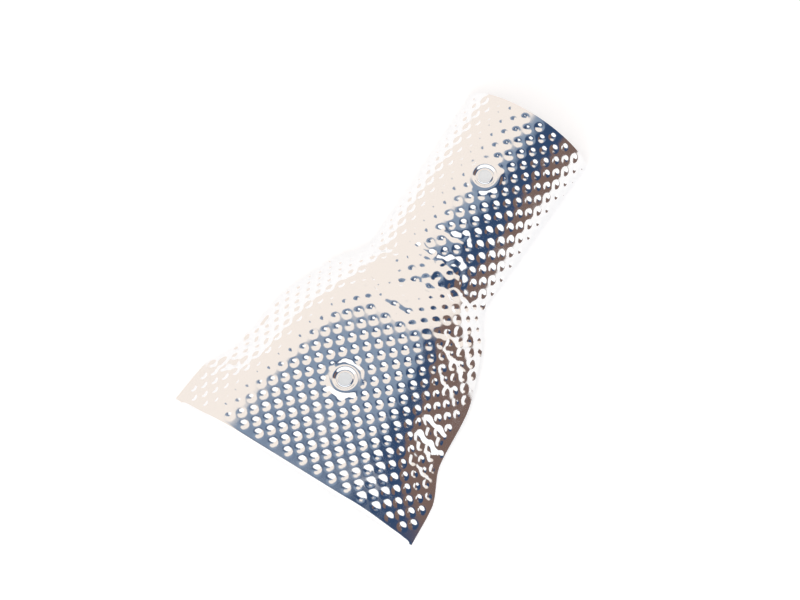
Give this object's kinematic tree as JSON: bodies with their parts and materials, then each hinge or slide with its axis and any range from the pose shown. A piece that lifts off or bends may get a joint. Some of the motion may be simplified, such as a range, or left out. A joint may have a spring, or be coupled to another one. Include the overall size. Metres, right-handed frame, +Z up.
{
  "type": "heat shield",
  "caption": "Dimpled aluminium sheet heat shield: a half-round trough that opens into a wide fan-shaped end, with bolt holes on its crown.",
  "frame": {"origin": "centre of the base: the middle of the bounding box in X and Y, at the height of the edges that it rests on", "axes": "+X along the length from the wide end to the end of the trough, +Z up through the crown, +Y across to the left when looking along +X"},
  "size_m": [0.243, 0.154, 0.03],
  "materials": {
    "shield": "bright rolled foil, embossed with dimples"
  },
  "bodies": {
    "root": {"heat_shield": "shield"}
  },
  "joints": []
}
